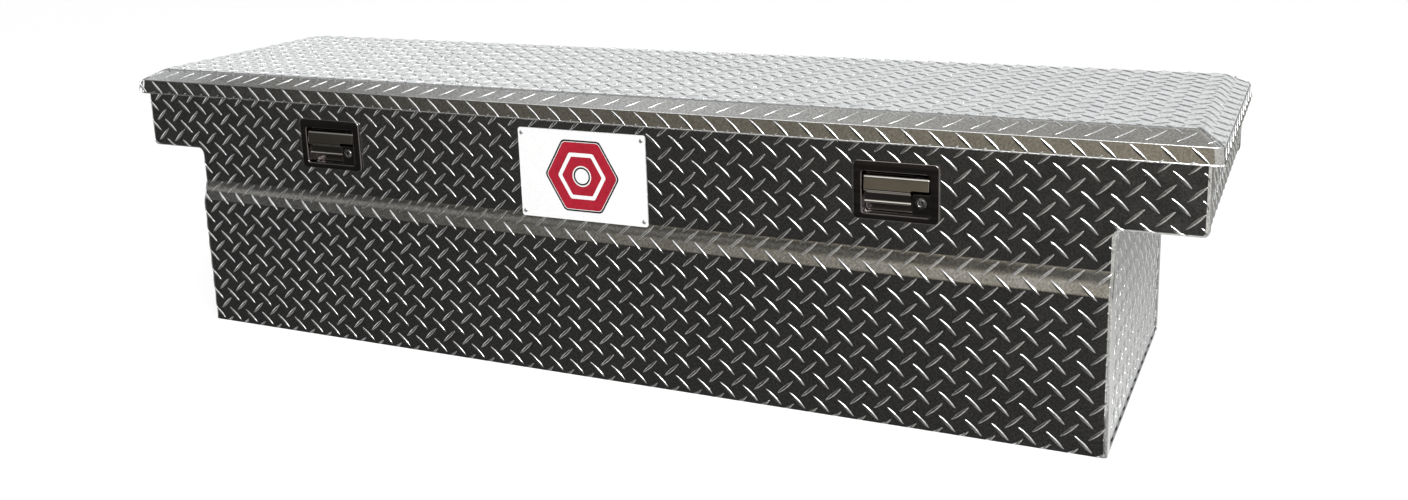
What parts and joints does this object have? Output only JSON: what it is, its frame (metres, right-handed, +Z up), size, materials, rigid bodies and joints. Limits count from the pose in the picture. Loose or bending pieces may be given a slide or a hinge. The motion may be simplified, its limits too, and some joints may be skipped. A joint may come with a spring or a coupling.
{
  "type": "truck tool box",
  "caption": "Crossover truck tool box of diamond tread aluminium: a T-shaped bin that hangs between the bed rails, a single rear-hinged lid on gas struts and keyed paddle latches.",
  "frame": {"origin": "on the floor at the middle of the bounding box: under the bin, midway between the wings and midway front to rear", "axes": "+X along the box to its right end, seen from the latch side; +Y to the rear, towards the lid's hinge; +Z up"},
  "size_m": [1.778, 0.51, 0.437],
  "materials": {
    "tread_plate": "bright diamond tread plate, 2 mm",
    "mill_aluminium": "plain mill finish",
    "steel": "zinc plated",
    "lock_face": "bright nickel",
    "black_coat": "gloss black powder coat",
    "rubber": "matt black foam rubber",
    "badge_white": "gloss white enamel"
  },
  "bodies": {
    "bin": {"front_panel": "tread_plate", "rear_panel": "tread_plate", "floor_panel": "tread_plate", "left_end_panel": "tread_plate", "right_end_panel": "tread_plate", "lid_seal": "rubber", "badge_plate": "badge_white", "badge_rivet_1": "mill_aluminium", "badge_rivet_2": "mill_aluminium", "badge_rivet_3": "mill_aluminium", "badge_rivet_4": "mill_aluminium", "hinge_leaf_body": "mill_aluminium", "hinge_pin": "steel", "latch_housing_left": "black_coat", "housing_gasket_left": "rubber", "paddle_pin_left": "steel", "paddle_spring_left": "steel", "latch_bracket_left": "steel", "hook_pin_left": "steel", "hook_spring_left": "steel", "lock_body_left": "steel", "strut_bracket_body_left": "steel", "latch_housing_right": "black_coat", "housing_gasket_right": "rubber", "paddle_pin_right": "steel", "paddle_spring_right": "steel", "latch_bracket_right": "steel", "hook_pin_right": "steel", "hook_spring_right": "steel", "lock_body_right": "steel", "strut_bracket_body_right": "steel"},
    "lid": {"lid_shell": "tread_plate", "lid_pan": "mill_aluminium", "lid_stiffener_front": "mill_aluminium", "lid_stiffener_rear": "mill_aluminium", "hinge_leaf_lid": "mill_aluminium", "striker_left": "steel", "strut_bracket_lid_left": "steel", "striker_right": "steel", "strut_bracket_lid_right": "steel"},
    "left_paddle": {"paddle_left": "black_coat"},
    "left_hook": {"latch_hook_left": "steel"},
    "left_lock": {"lock_plug_left": "lock_face", "lock_cam_left": "steel"},
    "left_strut_tube": {"strut_tube_left": "black_coat"},
    "left_strut_rod": {"strut_rod_left": "steel"},
    "right_paddle": {"paddle_right": "black_coat"},
    "right_hook": {"latch_hook_right": "steel"},
    "right_lock": {"lock_plug_right": "lock_face", "lock_cam_right": "steel"},
    "right_strut_tube": {"strut_tube_right": "black_coat"},
    "right_strut_rod": {"strut_rod_right": "steel"}
  },
  "joints": [
    {"name": "lid_hinge", "type": "hinge", "parent": "bin", "child": "lid", "pos_m": [0, 0.2153, 0.4003], "axis": [-1, 0, 0], "range_deg": [0, 70]},
    {"name": "left_paddle_hinge", "type": "hinge", "parent": "bin", "child": "left_paddle", "pos_m": [-0.478, -0.238, 0.35], "axis": [-1, 0, 0], "range_deg": [0, 26], "stiffness_Nm_per_rad": 0.3, "springref_deg": -11.46},
    {"name": "left_hook_pivot", "type": "hinge", "parent": "bin", "child": "left_hook", "pos_m": [-0.478, -0.192, 0.34], "axis": [1, 0, 0], "range_deg": [0, 14.5]},
    {"name": "left_lock_turn", "type": "hinge", "parent": "bin", "child": "left_lock", "pos_m": [-0.444, -0.22, 0.319], "axis": [0, 1, 0], "range_deg": [0, 90]},
    {"name": "left_strut_tube_pivot", "type": "hinge", "parent": "bin", "child": "left_strut_tube", "pos_m": [-0.745, 0.195, 0.24159], "axis": [-1, 0, 0], "range_deg": [0, 35.5]},
    {"name": "left_strut_rod_pivot", "type": "hinge", "parent": "lid", "child": "left_strut_rod", "pos_m": [-0.745, 0.05538, 0.3953], "axis": [-1, 0, 0], "range_deg": [-35.5, 0]},
    {"name": "right_paddle_hinge", "type": "hinge", "parent": "bin", "child": "right_paddle", "pos_m": [0.478, -0.238, 0.35], "axis": [-1, 0, 0], "range_deg": [0, 26], "stiffness_Nm_per_rad": 0.3, "springref_deg": -11.46},
    {"name": "right_hook_pivot", "type": "hinge", "parent": "bin", "child": "right_hook", "pos_m": [0.478, -0.192, 0.34], "axis": [1, 0, 0], "range_deg": [0, 14.5]},
    {"name": "right_lock_turn", "type": "hinge", "parent": "bin", "child": "right_lock", "pos_m": [0.512, -0.22, 0.319], "axis": [0, 1, 0], "range_deg": [0, 90]},
    {"name": "right_strut_tube_pivot", "type": "hinge", "parent": "bin", "child": "right_strut_tube", "pos_m": [0.745, 0.195, 0.24159], "axis": [-1, 0, 0], "range_deg": [0, 35.5]},
    {"name": "right_strut_rod_pivot", "type": "hinge", "parent": "lid", "child": "right_strut_rod", "pos_m": [0.745, 0.05538, 0.3953], "axis": [-1, 0, 0], "range_deg": [-35.5, 0]}
  ],
  "couplings": [
    {"joint": "left_hook_pivot", "follows": "left_paddle_hinge", "ratio": 0.55},
    {"joint": "left_strut_tube_pivot", "follows": "lid_hinge", "ratio": 0.5},
    {"joint": "left_strut_rod_pivot", "follows": "lid_hinge", "ratio": -0.5},
    {"joint": "right_hook_pivot", "follows": "right_paddle_hinge", "ratio": 0.55},
    {"joint": "right_strut_tube_pivot", "follows": "lid_hinge", "ratio": 0.5},
    {"joint": "right_strut_rod_pivot", "follows": "lid_hinge", "ratio": -0.5}
  ]
}
